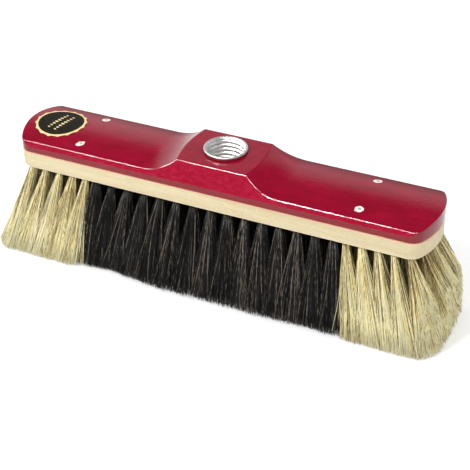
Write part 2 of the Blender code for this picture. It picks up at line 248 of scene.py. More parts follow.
deck = {
    "length": 0.280, "width": 0.0529, "endRadius": 0.0478, "cornerRadius": 0.0091,
    "bottom": 0.0763, "band": 0.0040, "wing": 0.0071, "hub": 0.0165, "lean": 0.467,
    "crown": 0.0030, "hubHalf": 0.0232, "rampRadius": 0.0340, "rampLimit": 0.98,
    "edgeSoft": 0.0018, "hubSoft": 0.0004, "wallRound": 0.0004, "spine": 0.112,
    "bore": 0.0133, "boreBack": 0.0010, "overrun": 0.004,
    "stations": [(0.0, 0.0210, 0.0015), (0.0215, 0.0275, 0.0003), (0.0282, 0.0480, 0.0008),
                 (0.0500, 0.1270, 0.0020)],  # runs of from, to and step
    "cornerGap": 0.0003, "creaseReach": 0.009, "creaseSoft": 0.0010, "creaseGap": 0.00005,
    "reflectionIn": (0.0009, 0.0004), "reflectionDown": (0.0006, 0.0003),  # where the painted dark reflection on the hub's back edge begins
}
hubTop = deck["bottom"] + deck["hub"]
wingEdge = deck["width"] / 2 - deck["lean"] * (deck["wing"] - deck["band"])
hubEdge = deck["width"] / 2 - deck["lean"] * (deck["hub"] - deck["band"])


def crown(y):
    # rise of a wing above its long edges, a parabola across the head
    return deck["crown"] * (1 - (y / wingEdge) ** 2)


def rampRise(x):
    # hollow arc of one radius that leaves the wing flat and climbs to the hub
    radius = deck["rampRadius"]
    rise = deck["hub"] - deck["wing"] - crown(hubEdge)
    foot = deck["hubHalf"] + math.sqrt(radius ** 2 - (radius - rise) ** 2)
    reach = np.clip(foot - np.abs(x), 0, deck["rampLimit"] * radius)
    return radius - np.sqrt(radius ** 2 - reach ** 2)


def softMin(a, b, width):
    # the lower of two heights, rounded over where they come within width of each other
    near = np.maximum(width - np.abs(a - b), 0) / width
    return np.minimum(a, b) - near ** 2 * width / 4


def deckTop(x, y):
    wing = deck["bottom"] + deck["wing"] + crown(y) + rampRise(x)
    return softMin(wing, np.full_like(wing, hubTop), deck["hubSoft"])


def leanTop(y):
    # height of the leaning side above a point of the plan
    return deck["bottom"] + deck["band"] + (deck["width"] / 2 - np.abs(y)) / deck["lean"]


def deckHeight(x, y):
    return softMin(deckTop(x, y), leanTop(y), deck["edgeSoft"])


def headOutline(sideStations, cornerSteps, endSteps):
    # plan of the head: straight sides, and at each end a broad arc between two corner arcs, all tangent
    small, large = deck["cornerRadius"], deck["endRadius"]
    cornerY, centreX = deck["width"] / 2 - small, deck["length"] / 2 - large
    cornerX = centreX + math.sqrt((large - small) ** 2 - cornerY ** 2)
    turn = math.atan2(cornerY, cornerX - centreX)
    first = np.linspace(-np.pi / 2, -turn, cornerSteps, endpoint=False)
    broad = np.linspace(-turn, turn, endSteps, endpoint=False)
    last = np.linspace(turn, np.pi / 2, cornerSteps + 1)
    end = np.concatenate([
        np.stack([cornerX + small * np.cos(first), -cornerY + small * np.sin(first)], 1),
        np.stack([centreX + large * np.cos(broad), large * np.sin(broad)], 1),
        np.stack([cornerX + small * np.cos(last), cornerY + small * np.sin(last)], 1),
    ])
    x = sideStations[np.abs(sideStations) < cornerX - deck["cornerGap"]]
    front = np.stack([x, np.full_like(x, -deck["width"] / 2)], 1)
    return np.concatenate([front, end, -front, -end])


def sideStations():
    # stations along a straight side, close together at the hub's corners and on its ramps
    half = np.concatenate([np.arange(*run) for run in deck["stations"]])
    return np.concatenate([-half[:0:-1], half])


def deckSurface():
    # each station of the outline runs inwards over wall, leaning side, edge and top to a line along the middle;
    # its height there is the lower of side and top, softened
    edge = headOutline(sideStations(), 12, 40)
    middle = edge.clip((-deck["spine"], 0), (deck["spine"], 0))
    whole = np.linalg.norm(middle - edge, axis=1)

    def plan(distance):
        return (edge + (middle - edge) * (distance / whole)[:, None]).T

    low, high = np.zeros(len(edge)), np.full(len(edge), deck["creaseReach"])
    for _ in range(30):  # halving finds where the leaning side meets the top
        half = (low + high) / 2
        x, y = plan(half)
        under = leanTop(y) < deckTop(x, y)
        low, high = np.where(under, half, low), np.where(under, high, half)
    bottom, roundOff, soft = deck["bottom"], deck["wallRound"], deck["creaseSoft"]
    crease = np.maximum(low, roundOff + soft + deck["creaseGap"])
    runs = list(roundOff * (1 - np.cos(np.linspace(0, np.pi / 2, 5))))
    runs += [roundOff + (crease - soft - roundOff) * share for share in np.linspace(0, 1, 7)[1:]]
    runs += [crease + soft * share for share in np.linspace(-1, 1, 15)[1:]]
    runs += [crease + soft + (whole - crease - soft) * share for share in np.linspace(0, 1, 27)[1:] ** 1.15]

    inner = plan(roundOff)
    rows = [spots(*(inner + (middle.T - inner) * share), bottom) for share in (1.0, 0.5, 0.0)]  # flat underside
    for angle in np.linspace(0, np.pi / 2, 4)[1:]:  # eased lower edge
        rows.append(spots(*plan(roundOff * (1 - np.sin(angle))), bottom + roundOff * (1 - np.cos(angle))))
    wallTop = deckHeight(*edge.T) - roundOff
    for share in np.linspace(0, 1, 7)[1:-1]:
        rows.append(spots(*edge.T, bottom + roundOff + (wallTop - bottom - roundOff) * share))
    for distance in runs:
        short = np.clip(roundOff - distance, 0, roundOff)
        drop = roundOff - np.sqrt(roundOff ** 2 - short ** 2)
        x, y = plan(distance)
        rows.append(spots(x, y, deckHeight(x, y) - drop))
    return shell("topDeck", rows)


def boreCutter():
    low, high = deck["bottom"] - deck["overrun"], hubTop + deck["overrun"]
    return shell("bore", cylinder(deck["bore"], low, high, 96, (0.0, deck["boreBack"])))


def lacquerFinish():
    # crimson stain under clear lacquer: long fine grain, cloudy patches, and a little waviness in the coat
    finish, tree, shader = newFinish("crimsonLacquer", Roughness=0.6, Specular_IOR_Level=0.0,
                                     Coat_Weight=1.0, Coat_Roughness=0.06, Coat_IOR=1.5)
    cloud = noise(tree, (55, 120, 120), 4.0, warp=0.4)
    blotch = noise(tree, (300, 480, 480), offset=(3.0, 1.0, 0.0))
    grain = noise(tree, (38, 1700, 1700))
    pores = noise(tree, (160, 4200, 4200), 2.0, 0.5, (0.0, 5.0, 2.0))
    wave = noise(tree, (420, 900, 900), 2.0, 0.5)
    body = stops(tree, cloud, [(0.25, colour(131, 7, 35)), (0.55, colour(145, 9, 41)), (0.8, colour(159, 12, 49))])
    # painted light and shade by facing: the leaning sides are painted brighter, with brighter cloudy patches
    # mostly on them, and the upright band and ends are painted duller
    facing = node(tree, "SeparateXYZ", {0: node(tree, "NewGeometry").outputs["Normal"]}).outputs
    upright = remap(tree, facing["Z"], 0.15, 0.30, 1.0, 0.0)
    lean = times(tree, remap(tree, facing["Z"], 0.55, 0.75, 1.0, 0.0), maths(tree, "SUBTRACT", 1.0, upright))
    patch = times(tree, remap(tree, blotch, 0.42, 0.72, 0.0, 0.36), remap(tree, lean, 0.0, 1.0, 0.04, 1.0))
    for share, tint in (lean, colour(152, 5, 38)), (patch, colour(194, 46, 86)), (upright, colour(126, 5, 20)):
        body = mixColour(tree, share, body, tint)
    streak = stops(tree, grain, [(0.3, (0.74, 0.74, 0.74)), (0.6, (1.0, 1.0, 1.0)), (0.85, (1.12, 1.05, 1.05))])
    body = mixColour(tree, 0.55, body, streak, "MULTIPLY")
    speck = stops(tree, pores, [(0.34, (0.6, 0.55, 0.55)), (0.44, (1.0, 1.0, 1.0))])
    body = mixColour(tree, 0.35, body, speck, "MULTIPLY")
    # a painted dark reflection along the rounded back edge, and along the hub's sharper one, where the coat is
    # thinned
    dark = times(tree, remap(tree, facing["Y"], 0.13, 0.26), remap(tree, facing["Y"], 0.60, 0.80, 1.0, 0.0))
    spot = axes(tree)
    ridge = times(tree, remap(tree, spot["Y"], *(hubEdge - inset for inset in deck["reflectionIn"])),
                  remap(tree, spot["Z"], *(hubTop - drop for drop in deck["reflectionDown"])))
    dark = maths(tree, "MAXIMUM", dark, ridge)
    body = mixColour(tree, times(tree, dark, 0.75), body, colour(58, 16, 26))
    feed(tree, shader, Coat_Weight=remap(tree, dark, 0.0, 1.0, 1.0, 0.3), Base_Color=body,
         Normal=bump(tree, grain, 0.25), Coat_Normal=bump(tree, wave, 0.24, 0.0004))
    return finish


addPiece("topDeck", cutAway(deckSurface(), boreCutter()), lacquerFinish(), ["top_deck"])
print("deck made")


board = {
    "bottom": 0.0650, "thickness": 0.0110, "ease": 0.00045, "spine": 0.09,
    "drill": 0.0025, "drillSides": 18, "drillPast": 0.002,
    "channelWidth": 0.0053, "channelDepth": 0.0044, "channelGap": 0.0003,
    "pinkDown": (0.0009, 0.0003), "highlightUp": (0.0003, 0.0009),  # where the pink tint and the painted highlight begin and end
}
boardTop = board["bottom"] + board["thickness"]

tufts = {
    "rows": 5, "darkCount": 15, "paleCount": 5, "outerRow": 0.0212, "darkEdge": 0.0805, "paleEdge": 0.0880,
    "outerLast": 0.1275, "endInset": 0.0080,
    "darkSplay": 0.0040, "paleSplay": 0.0080, "endSplay": 0.0215, "rowSplay": 0.0098,
    "sliceWidth": 0.0047, "sliceThickness": 0.0025, "sliceTop": 0.0744, "sliceEnd": 0.0036, "sliceEase": 0.0003,
    "sliceSteps": 12, "slicePower": 0.45,
}


def rowY(row):
    return (2 * row / (tufts["rows"] - 1) - 1) * tufts["outerRow"]


def endReach(y):
    return deck["length"] / 2 - deck["endRadius"] + math.sqrt(deck["endRadius"] ** 2 - y ** 2)


def paleX(row):
    # distances of one end's pale tufts from the middle
    last = tufts["outerLast"] if row in (0, tufts["rows"] - 1) else endReach(rowY(row)) - tufts["endInset"]
    return np.linspace(tufts["paleEdge"], last, tufts["paleCount"])


def darkX():
    return np.linspace(-tufts["darkEdge"], tufts["darkEdge"], tufts["darkCount"])


def floorX(x, pale):
    # where a tuft rooted at x meets the floor; the ends splay out most
    if not pale:
        return x * (tufts["darkEdge"] + tufts["darkSplay"]) / tufts["darkEdge"]
    outermost = deck["length"] / 2 - tufts["endInset"]
    share = (np.abs(x) - tufts["paleEdge"]) / (outermost - tufts["paleEdge"])
    return np.sign(x) * (np.abs(x) + tufts["paleSplay"] + share * (tufts["endSplay"] - tufts["paleSplay"]))


def floorY(y):
    return y * (tufts["outerRow"] + tufts["rowSplay"]) / tufts["outerRow"]


def boardSurface():
    # the outline carried up from an eased lower edge to an eased upper one, closed by a flat top and bottom
    edge = headOutline(sideStations(), 14, 48)
    count = len(edge)
    inward = edge.clip((-board["spine"], 0), (board["spine"], 0)) - edge
    inward /= np.linalg.norm(inward, axis=1)[:, None]
    eased = [(board["ease"] * (1 - np.sin(a)), board["ease"] * (1 - np.cos(a)))
             for a in np.linspace(0, np.pi / 2, 5)]
    rows = [(inset, board["bottom"] + rise) for inset, rise in eased]
    rows += [(inset, boardTop - rise) for inset, rise in eased[::-1]]
    points = np.concatenate([spots(*(edge + inward * inset).T, z) for inset, z in rows])
    work = opened(surface("beechBoard", points, gridQuads(len(rows), count)))
    work.verts.ensure_lookup_table()
    work.faces.new([work.verts[k] for k in range(count)][::-1])
    work.faces.new([work.verts[k] for k in range((len(rows) - 1) * count, len(rows) * count)])
    return weld(closed(work, bpy.data.meshes.new("beechBoard")))


def boardCutters():
    # one channel for each row's backing, and a round hole for every tuft
    channels, holes = opened(), opened()
    floor, overrun = boardTop - board["channelDepth"], deck["overrun"]
    low, high = board["bottom"] - overrun, floor + board["drillPast"]
    for row in range(tufts["rows"]):
        reach = paleX(row)[-1] + tufts["sliceEnd"] + board["channelGap"]
        size = Matrix.Diagonal((2 * reach, board["channelWidth"], board["channelDepth"] + overrun, 1))
        middle = Matrix.Translation((0, rowY(row), floor + (board["channelDepth"] + overrun) / 2))
        bmesh.ops.create_cube(channels, size=1.0, matrix=middle @ size)
        for x in np.concatenate([-paleX(row), darkX(), paleX(row)]):
            bmesh.ops.create_cone(holes, cap_ends=True, segments=board["drillSides"], radius1=board["drill"],
                                  radius2=board["drill"], depth=high - low,
                                  matrix=Matrix.Translation((x, rowY(row), (low + high) / 2)))
    return [closed(work, bpy.data.meshes.new("cutter")) for work in (channels, holes)]


def beechFinish():
    # pale beech: soft growth bands, long grain and the short brown flecks of its rays
    finish, tree, shader = newFinish("paleBeech", Roughness=0.5, Specular_IOR_Level=0.4)
    band = noise(tree, (9, 160, 160), 3.0, 0.5, warp=0.3)
    grain = noise(tree, (60, 1600, 1600), 4.0)
    fleck = noise(tree, (420, 2400, 2400), 2.0, 0.5, (1.0, 2.0, 0.0))
    body = stops(tree, band, [(0.3, colour(201, 186, 149)), (0.55, colour(208, 194, 158)),
                              (0.75, colour(215, 203, 170))])
    streak = stops(tree, grain, [(0.32, (0.86, 0.83, 0.78)), (0.6, (1.0, 1.0, 1.0))])
    body = mixColour(tree, 0.7, body, streak, "MULTIPLY")
    spot = stops(tree, fleck, [(0.30, (0.72, 0.60, 0.48)), (0.40, (1.0, 1.0, 1.0))])
    body = mixColour(tree, 0.65, body, spot, "MULTIPLY")
    # a pink tint along the upper edge, and a painted highlight along the lower edge
    height = axes(tree)["Z"]
    pinkTop = remap(tree, height, *(boardTop - drop for drop in board["pinkDown"]), 0.0, 0.55)
    edgeHighlight = remap(tree, height, *(board["bottom"] + rise for rise in board["highlightUp"]), 0.5, 0.0)
    body = mixColour(tree, pinkTop, body, colour(226, 140, 118))
    body = mixColour(tree, edgeHighlight, body, colour(248, 238, 212))
    feed(tree, shader, Base_Color=body, Roughness=remap(tree, grain, 0.3, 0.7, 0.44, 0.6),
         Normal=bump(tree, grain, 0.2))
    return finish


boardData = boardSurface()
for cutterData in boardCutters():
    boardData = cutAway(boardData, cutterData)
addPiece("beechBoard", boardData, beechFinish(), ["bristle_board"], 40.0)
print("board made")


socket = {
    "crest": 0.0117, "groove": 0.0127, "pitch": 0.0029,
    "threadStart": 0.0006, "threadEnd": 0.0156, "threadFade": 0.0012,
    "crestPower": 0.75, "turnSteps": 160, "heightSteps": 120,
    "wall": 0.0130, "rim": 0.0138, "rimEdge": 0.0002, "stand": 0.0025, "round": 0.0006, "gap": 0.0003,
    "mouth": [(0.0130, 0.0), (0.0127, 0.0001), (0.0124, 0.0004)],  # radius, and depth below the rim
    "stained": 0.0012, "outside": (0.0134, 0.0136), "gapShadow": (0.0003, 0.0006), "stainEdge": 0.0001,
}


def socketSurface():
    # a profile carried round the bore; inside, the radius falls from groove to crest by |sin(pi
    # phase)|^power, with phase = depth / pitch + angle / 2 pi, so that the crest climbs as a wide thread
    top, bottom, foot = hubTop + socket["stand"], boardTop + socket["gap"], hubTop + socket["gap"]
    wall, rim, rimEdge, curve = (socket[key] for key in ("wall", "rim", "rimEdge", "round"))
    outer = [(wall, bottom), (wall, foot), (rim - rimEdge, foot), (rim, foot + rimEdge)]
    outer += [(rim - curve * (1 - math.cos(a)), top - curve * (1 - math.sin(a)))
              for a in np.linspace(0, np.pi / 2, 5)]
    outer += [(radius, top - depth) for radius, depth in socket["mouth"]]
    angle = fullTurn(socket["turnSteps"])
    rows = [around(radius, angle, height) for radius, height in outer]
    depth = np.linspace(socket["threadStart"], top - bottom, socket["heightSteps"])[:, None]
    phase = depth / socket["pitch"] + angle / (2 * np.pi)
    ridge = np.abs(np.sin(np.pi * phase)) ** socket["crestPower"]  # broad crests with narrow grooves between
    fade = np.clip(depth / socket["threadFade"], 0, 1)
    fade = fade * np.clip((socket["threadEnd"] - depth) / socket["threadFade"], 0, 1)
    inside = socket["groove"] - (socket["groove"] - socket["crest"]) * ridge * fade
    rows += list(around(inside, angle, top - depth))
    return shell("handleSocket", np.array(rows) + (0, deck["boreBack"], 0), closedRows=True)


def steelFinish(name):
    # bright rolled steel: faint turning marks round the axis, a little cloudiness
    finish, tree, shader = newFinish(name, Roughness=0.3)
    cloud = noise(tree, (300, 300, 300))
    fine = noise(tree, (900, 900, 2600))
    tint = stops(tree, cloud, [(0.3, (0.62, 0.63, 0.63)), (0.7, (0.80, 0.80, 0.79))])
    # the foot of the rim took some stain, with a painted shadow line at its upper limit for the gap round the rim
    height = axes(tree)["Z"]
    outside = remap(tree, fromAxis(tree, 0, deck["boreBack"]), *socket["outside"])
    limit, blur = hubTop + socket["stained"], socket["stainEdge"]
    gapShadow = times(tree, outside, remap(tree, height, *(limit + rise for rise in socket["gapShadow"]), 0.9, 0.0))
    stain = times(tree, outside, remap(tree, height, limit - blur, limit + blur, 1.0, 0.0))
    tint = mixColour(tree, gapShadow, tint, colour(40, 12, 18))
    tint = mixColour(tree, stain, tint, colour(158, 30, 52))
    feed(tree, shader, Base_Color=tint, Metallic=remap(tree, stain, 0.0, 1.0, 0.8, 0.0),
         Roughness=remap(tree, fine, 0.3, 0.7, 0.24, 0.42), Normal=bump(tree, fine, 0.25))
    return finish


addPiece("handleSocket", socketSurface(), steelFinish("brightSteel"), ["handle_socket"], 60.0)
print("socket made")


pins = {
    "x": 0.0940, "y": 0.0168, "head": 0.0013, "dome": 0.00022, "domeFoot": 0.35, "shank": 0.0009,
    "lip": 0.0005, "neck": 0.0006, "length": 0.0160, "steps": 20,
    "chip": 0.0029, "chipProud": 0.00007, "chipUnder": -0.0002, "chipSteps": 60,
    # shares of the radius and of the height
    "chipRings": [(0.0, 1.0), (0.45, 1.0), (0.6, 1.0), (0.8, 0.9), (0.93, 0.5), (1.0, -1.0)],
    "chips": {  # corners, stretch and lean of each bare spot
        "front_left": (4, 0.60, 0.75), "back_left": (5, 0.35, 0.90),
        "front_right": (6, 0.10, 0.20), "back_right": (5, 0.45, 0.50),
    },
}


def wingTop(y):
    return deck["bottom"] + deck["wing"] + crown(y)


def laid(rows, x, y):
    # rings of points moved to a place on the wing, each point lifted by the wing's height there
    rows = np.array(rows) + (x, y, 0)
    rows[..., 2] += wingTop(rows[..., 1])
    return rows


def pinSurface(name, x, y):
    # a domed head on a round shank, turned about its axis and laid to the slope of the wing
    dome = [(pins["head"] * math.sin(a), pins["dome"] * (math.cos(a) + pins["domeFoot"]))
            for a in np.linspace(0, np.pi / 2, 6)]
    shank = [(pins["shank"], -pins["neck"]), (pins["shank"], -pins["length"]), (0, -pins["length"])]
    return shell(name, laid(turned(dome + [(pins["head"], -pins["lip"])] + shank, pins["steps"]), x, y))


def chipSurface(name, x, y, corners, stretch, lean):
    # a thin flake-edged patch laid on the wing: a softened polygon, 0.45 + 0.55 cos(pi / n) / cos(wedge),
    # rippled by 1 + 0.05 sin(5 angle + 3 lean) and drawn out by 1 + 0.28 stretch cos(2 (angle - lean))
    angle = fullTurn(pins["chipSteps"])
    wedge = np.mod(angle + lean, 2 * np.pi / corners) - np.pi / corners
    radius = pins["chip"] * (0.45 + 0.55 * math.cos(np.pi / corners) / np.cos(wedge))
    radius *= 1 + 0.05 * np.sin(5 * angle + 3 * lean)
    radius *= 1 + 0.28 * stretch * np.cos(2 * (angle - lean))
    rings = [(share, pins["chipProud"] * rise) for share, rise in pins["chipRings"]]
    rings += [(share, pins["chipUnder"]) for share in (0.9, 0.0)]
    return shell(name, laid([around(share * radius, angle, z) for share, z in rings], x, y))


def pinFinish():
    finish, tree, shader = newFinish("pinSteel", Metallic=0.7, Roughness=0.45)
    tarnish = noise(tree, (1500, 1500, 1500))
    tint = stops(tree, tarnish, [(0.35, (0.50, 0.50, 0.46)), (0.65, (0.74, 0.75, 0.70))])
    feed(tree, shader, Base_Color=tint, Roughness=remap(tree, tarnish, 0.3, 0.7, 0.35, 0.6))
    return finish


def chipFinish():
    # bare pale wood where the lacquer has flaked, with pink stain left in its pores
    finish, tree, shader = newFinish("bareWood", Roughness=0.6)
    fibre = noise(tree, (500, 2600, 2600))
    tint = stops(tree, fibre, [(0.30, colour(222, 150, 150)), (0.42, colour(243, 226, 214)),
                               (0.7, colour(252, 246, 238))])
    feed(tree, shader, Base_Color=tint, Normal=bump(tree, fibre, 0.4))
    return finish


pinLook, chipLook = pinFinish(), chipFinish()
for corner, flake in pins["chips"].items():
    x = pins["x"] * (-1 if "left" in corner else 1)
    y = pins["y"] * (-1 if "front" in corner else 1)
    pinName, chipName = "deckPin." + corner, "bareSpot." + corner
    addPiece(pinName, pinSurface(pinName, x, y), pinLook, ["deck_pin_" + corner])
    addPiece(chipName, chipSurface(chipName, x, y, *flake), chipLook, sharpAngle=70.0)
print("pins made")


label = {
    "x": -0.118, "radius": 0.01725, "scallops": 16, "scallop": 0.0005, "lift": 0.0003, "thickness": 0.0003,
    "border": 0.0022, "borderBlur": 0.0001, "edgeDrop": 0.00008,
    "marks": 8, "markLength": 0.0011, "markWidth": 0.0018, "slant": 1.35,
    "rowHalf": 0.0088, "rowAway": 0.0027, "rowTaper": 0.35, "markSunk": 0.00002, "markThickness": 0.00006,
}


def labelRadius(angle):
    # outward points joined by shallow hollows, like the edge of a paper seal
    return label["radius"] - label["scallop"] * 2 * np.abs(np.sin(label["scallops"] * angle / 2)) ** 0.8


def labelSurface():
    # rings from the middle to the scalloped edge, over it and back underneath, bent over the wing's crown; a
    # ring at share s of the way out has the radius s (round (1 - s^6) + scalloped s^6)
    angle = fullTurn(label["scallops"] * 12)
    top, bottom = label["lift"] + label["thickness"], label["lift"]
    rings = [(share, top) for share in np.linspace(0, 0.985, 16)] + [(1.0, top - label["edgeDrop"]), (1.0, bottom)]
    rings += [(share, bottom) for share in (0.8, 0.5, 0.0)]
    rows = [around(share * (label["radius"] * (1 - share ** 6) + labelRadius(angle) * share ** 6), angle, height)
            for share, height in rings]
    return shell("roundLabel", laid(rows, label["x"], 0))


def labelMarks():
    # two slanting rows of small raised lozenges, a plain ornament in the middle of the label
    along = np.array([math.cos(label["slant"]), math.sin(label["slant"])])
    across = np.array([-along[1], along[0]])
    lozenge = (np.outer([1, 0, -1, 0], along) * label["markLength"]
               + np.outer([0, 1, 0, -1], across) * label["markWidth"])
    lift = label["lift"] + label["thickness"] - label["markSunk"]
    points, quads = [], []
    for side in (-1, 1):
        for shift in np.linspace(-label["rowHalf"], label["rowHalf"], label["marks"]):
            size = 1 - label["rowTaper"] * abs(shift) / label["rowHalf"]
            ring = (label["x"], 0) + along * shift + across * side * label["rowAway"] + size * lozenge
            start = len(points)
            for height in (lift, lift + label["markThickness"]):
                points += [(px, py, wingTop(py) + height) for px, py in ring]
            quads += [[start + 3, start + 2, start + 1, start], [start + 4, start + 5, start + 6, start + 7]]
            quads += [[start + k, start + (k + 1) % 4, start + 4 + (k + 1) % 4, start + 4 + k] for k in range(4)]
    return surface("labelMarks", np.array(points), quads)


def goldTint(tree):
    fibre = noise(tree, (900, 900, 900))
    return stops(tree, fibre, [(0.3, colour(222, 190, 128)), (0.6, colour(243, 219, 166)),
                               (0.8, colour(252, 238, 200))])


def labelFinish():
    # black printed paper with a gold border, split by the distance from the label's middle
    finish, tree, shader = newFinish("labelPaper", Roughness=0.5, Specular_IOR_Level=0.06)
    edge, blur = label["radius"] - label["border"], label["borderBlur"]
    ring = remap(tree, fromAxis(tree, label["x"], 0), edge - blur, edge + blur)
    printed = noise(tree, (420, 420, 420), 4.0)
    black = stops(tree, printed, [(0.3, colour(26, 24, 16)), (0.7, colour(44, 42, 32))])
    feed(tree, shader, Base_Color=mixColour(tree, ring, black, goldTint(tree)),
         Roughness=remap(tree, printed, 0.3, 0.7, 0.44, 0.58))
    return finish


def goldFinish():
    finish, tree, shader = newFinish("goldPrint", Roughness=0.38)
    feed(tree, shader, Base_Color=goldTint(tree))
    return finish


addPiece("roundLabel", labelSurface(), labelFinish(), ["round_label"])
addPiece("labelMarks", labelMarks(), goldFinish(), sharpAngle=None)
print("label made")


hair = {
    "seed": 41, "anyTurn": 6.28, "rootZ": 0.0670, "bend": 1.02,
    "dark": {"outer": 580, "inner": 320, "clumps": 44, "segments": 3, "radius": 0.00013, "tip": 0.00010,
             "root": 0.0016, "opening": 1.18, "loose": 0.95, "wander": 0.0020, "curl": 0.0009, "stray": 0.05,
             "ragged": 0.0044, "tipSpread": 0.0030, "packed": (0.30, 0.12), "combed": [(-0.0085, -0.042, 0.040)]},
    "pale": {"outer": 960, "inner": 460, "clumps": 44, "segments": 4, "radius": 0.00017, "tip": 0.00017,
             "root": 0.0013, "opening": 1.25, "loose": 0.95, "wander": 0.0013, "curl": 0.0006, "stray": 0.03,
             "ragged": 0.0032, "tipSpread": 0.0024, "packed": (0.50, 0.40),
             "combed": [(-0.0065, -0.088, 0.016), (0.0040, 0.088, 0.016)]},
    "taper": 1.5, "tipFill": 1.48, "tuftWander": 0.0007,
    "clumpWander": 0.0005, "clumpSize": 1.3, "clumpOpening": 0.3,
    "clumpTurn": 2.39996, "rootFill": 0.98, "strayReach": 0.0055,  # clumpTurn is the golden angle
    # shares and powers for the ragged ends, and for the tips
    "clumpShare": (0.4, 0.2), "ownShare": (0.6, 0.8), "ownPower": (0.5, 0.7),
    "lockTone": 0.13, "ownTone": 0.26, "strayTone": 0.25, "coreTone": 0.4, "plugTone": 0.45,
    "coreRibs": 64, "coreRings": 6, "coreShare": 0.72, "endShare": 0.56, "coreRibbing": 0.13, "ribLimit": 1.5,
    "ribShading": (0.6, 0.4), "coreEnd": 0.0045, "flaredCoreEnd": 0.0200, "coreLevel": 0.93,
    "coreFlare": 0.9, "coreInset": 0.0058, "coreSideShare": 0.7,
    "farLeft": 0.1622, "farRight": 0.1548, "farY": 0.0372, "corner": 0.020, "crowd": 0.95, "leastNarrow": 0.1,
    "flare": 3.0, "cornerFlare": 1.8, "flareReach": 0.030, "flareFrom": 0.8, "leastCut": 0.3,
    "waveAt": (-0.086, -0.071, -0.054, -0.030, -0.008, 0.035, 0.060, 0.086),
    "waveIn": (0.0034, 0.0048, 0.0018, -0.0008, 0.0002, -0.0008, 0.0006, 0.0004),
    "astray": 6, "astrayReach": (0.003, 0.014), "astrayRise": (0.002, 0.030),
    "plug": 0.0023, "plugDown": 0.0014, "plugSteps": 12, "shownOver": 0.012, "shownFrom": 0.3,
}

# shares of the map: each hair's patch and its ends, the strip for the cores, and the corner for the plugs
hairMap = {
    "margin": 0.08, "filled": 0.84, "hairs": 0.90, "strip": (0.91, 0.08), "coreSpan": (0.1, 0.8),
    "ends": [[0.02, 0.01], [0.06, 0.01], [0.04, 0.05], [0.02, 0.95], [0.06, 0.95], [0.04, 0.99]],
    "caps": [[0.01, 0.08, 0.08], [0.99, 0.92, 0.92]], "plug": (0.999, 0.0008, 900),
}


def endTrim(y, side):
    # how far the trimmed tips reach at an end, with rounded corners: far - c + sqrt(c^2 - (|y| - farY + c)^2)
    corner = hair["corner"]
    past = np.clip(np.abs(y) - hair["farY"] + corner, 0, corner)
    return hair["farRight" if side > 0 else "farLeft"] - corner + np.sqrt(corner ** 2 - past ** 2)


def sideTrim(x, y, pale):
    # how far the tips reach at the front and back; the front edge of the dark hair waves in and out
    return hair["farY"] - (0 if pale or y >= 0 else np.interp(x, hair["waveAt"], hair["waveIn"]))


def tuftAim(rng, x, y, pale, tipHalf, flared):
    # where a tuft's middle meets the floor, how far it may reach outwards from there, and how much that
    # narrows it; a flared tuft opens wide at its outer side instead, and its hairs are cut where they meet
    # the trimmed end
    centre = np.array([floorX(x, pale), floorY(y)]) + rng.normal(0, hair["tuftWander"], 2)
    for by, at, over in hair["pale" if pale else "dark"]["combed"]:  # some tufts are combed sideways
        centre[0] += by * math.exp(-((x - at) / over) ** 2)
    room = np.array([endTrim(centre[1], x), sideTrim(centre[0], y, pale)]) - np.abs(centre)
    narrow = np.clip(room / (hair["crowd"] * np.array(tipHalf)), hair["leastNarrow"], 1)
    if flared:
        narrow[0] = hair["cornerFlare" if abs(y) == tufts["outerRow"] else "flare"]
    return centre, narrow


def tuftCore(rng, x, y, pale, aim, tipHalf, endmost, flared):
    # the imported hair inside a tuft: a fan of ribs, each at its own share of the tuft's radius, from root to
    # near the floor; each ring's half-size is root + fan^opening (tip - root)
    centre, narrow = aim
    kind = hair["pale" if pale else "dark"]
    way = around(1, fullTurn(hair["coreRibs"]), 0)[:, :2]
    narrow = np.where(narrow > 1, hair["coreFlare"], narrow)
    way *= np.where(way * np.sign(centre) > 0, narrow, 1)
    proud = rng.normal(0, 1, len(way)).clip(-hair["ribLimit"], hair["ribLimit"])
    rib = hair["endShare" if endmost else "coreShare"] * (1 + hair["coreRibbing"] * proud)
    level = np.linspace(0, 1, hair["coreRings"])
    z = hair["rootZ"] + level * (hair["flaredCoreEnd" if flared else "coreEnd"] - hair["rootZ"])
    fan = ((hair["rootZ"] - z) / hair["rootZ"]) ** hair["bend"]
    half = kind["root"] + (fan ** kind["opening"])[:, None] * (np.array(tipHalf) - kind["root"])
    axis = np.array([x, y]) + fan[:, None] * (centre - np.array([x, y]))
    plan = axis[:, None] + half[:, None] * (way * rib[:, None])[None]
    side = sideTrim(plan[..., 0], y, pale) - hair["coreInset"] * hair["coreSideShare"]
    plan[..., 1] = np.clip(plan[..., 1], -side, side)
    end = endTrim(plan[..., 1], x) - hair["coreInset"]
    plan[..., 0] = np.clip(plan[..., 0], -end, end)
    # painted shade and light: sunk ribs are tinted darker and proud ribs lighter
    (middle, swing), (grooveShade, own) = kind["packed"], hair["ribShading"]
    tone = (middle + swing * (grooveShade * proud + own * rng.normal(0, 1, len(way)))).clip(0, 1)
    return spots(plan[..., 0], plan[..., 1], z[:, None]), tone


